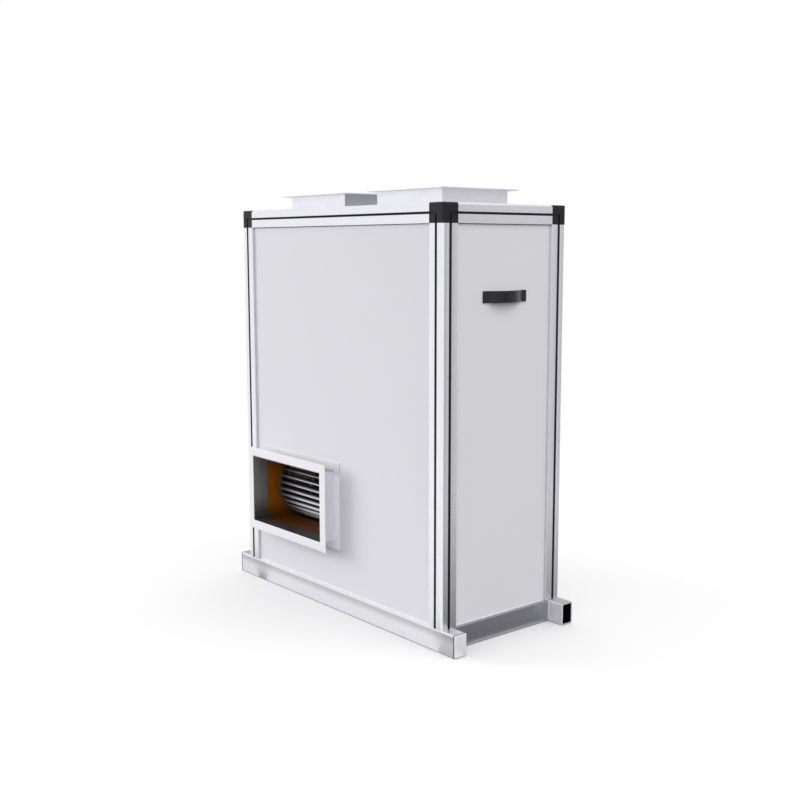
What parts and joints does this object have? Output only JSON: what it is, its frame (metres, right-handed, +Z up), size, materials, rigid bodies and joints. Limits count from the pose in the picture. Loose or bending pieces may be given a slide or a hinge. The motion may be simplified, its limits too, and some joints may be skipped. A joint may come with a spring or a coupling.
{
  "type": "air handling unit",
  "caption": "Free-standing air handling unit: a panelled profile cabinet on base rails, with duct spigots on top, a flanged fan outlet on the front and a removable access panel.",
  "frame": {"origin": "on the floor, under the middle of the overall box", "axes": "+X to the access panel's end, +Y to the back, away from the outlet, +Z up"},
  "size_m": [1, 0.473, 1.162],
  "materials": {
    "rail_metal": "galvanised, satin",
    "profile_metal": "anodised, satin",
    "black_plastic": "moulded, satin",
    "slot_strip": "matte",
    "panel_paint": "powder coat, satin",
    "duct_metal": "galvanised sheet, satin",
    "housing_paint": "lacquered, satin",
    "wheel_steel": "galvanised",
    "motor_paint": "satin"
  },
  "bodies": {
    "cabinet": {"base_front_rail": "rail_metal", "base_rear_rail": "rail_metal", "base_left_cross_rail": "rail_metal", "base_right_cross_rail": "rail_metal", "front_rail_end_plates": "rail_metal", "rear_rail_plugs": "black_plastic", "front_left_post": "profile_metal", "front_right_post": "profile_metal", "rear_left_post": "profile_metal", "rear_right_post": "profile_metal", "front_top_rail": "profile_metal", "rear_top_rail": "profile_metal", "left_top_rail": "profile_metal", "right_top_rail": "profile_metal", "front_left_corner": "black_plastic", "front_right_corner": "black_plastic", "rear_left_corner": "black_plastic", "rear_right_corner": "black_plastic", "post_slot_strips": "slot_strip", "top_rail_slot_strips": "slot_strip", "front_panel": "panel_paint", "rear_panel": "panel_paint", "left_panel": "panel_paint", "access_panel": "panel_paint", "top_panel": "panel_paint", "floor_panel": "panel_paint", "access_handle": "black_plastic", "outlet_wall_flange": "duct_metal", "outlet_collar": "duct_metal", "outlet_front_flange": "duct_metal", "left_top_spigot": "duct_metal", "right_top_spigot": "duct_metal", "fan_left_side_plate": "housing_paint", "fan_right_side_plate": "housing_paint", "fan_scroll_wrap": "housing_paint", "fan_inlet_bells": "housing_paint", "fan_feet": "motor_paint", "fan_motor": "motor_paint", "motor_bracket": "motor_paint"},
    "fan_rotor": {"wheel_left_blades": "wheel_steel", "wheel_right_blades": "wheel_steel", "wheel_end_rings": "wheel_steel", "wheel_middle_disc": "wheel_steel", "fan_shaft": "wheel_steel"}
  },
  "joints": [
    {"name": "fan_spin", "type": "hinge", "parent": "cabinet", "child": "fan_rotor", "pos_m": [-0.18, -0.0535, 0.3], "axis": [1, 0, 0], "continuous": true}
  ]
}
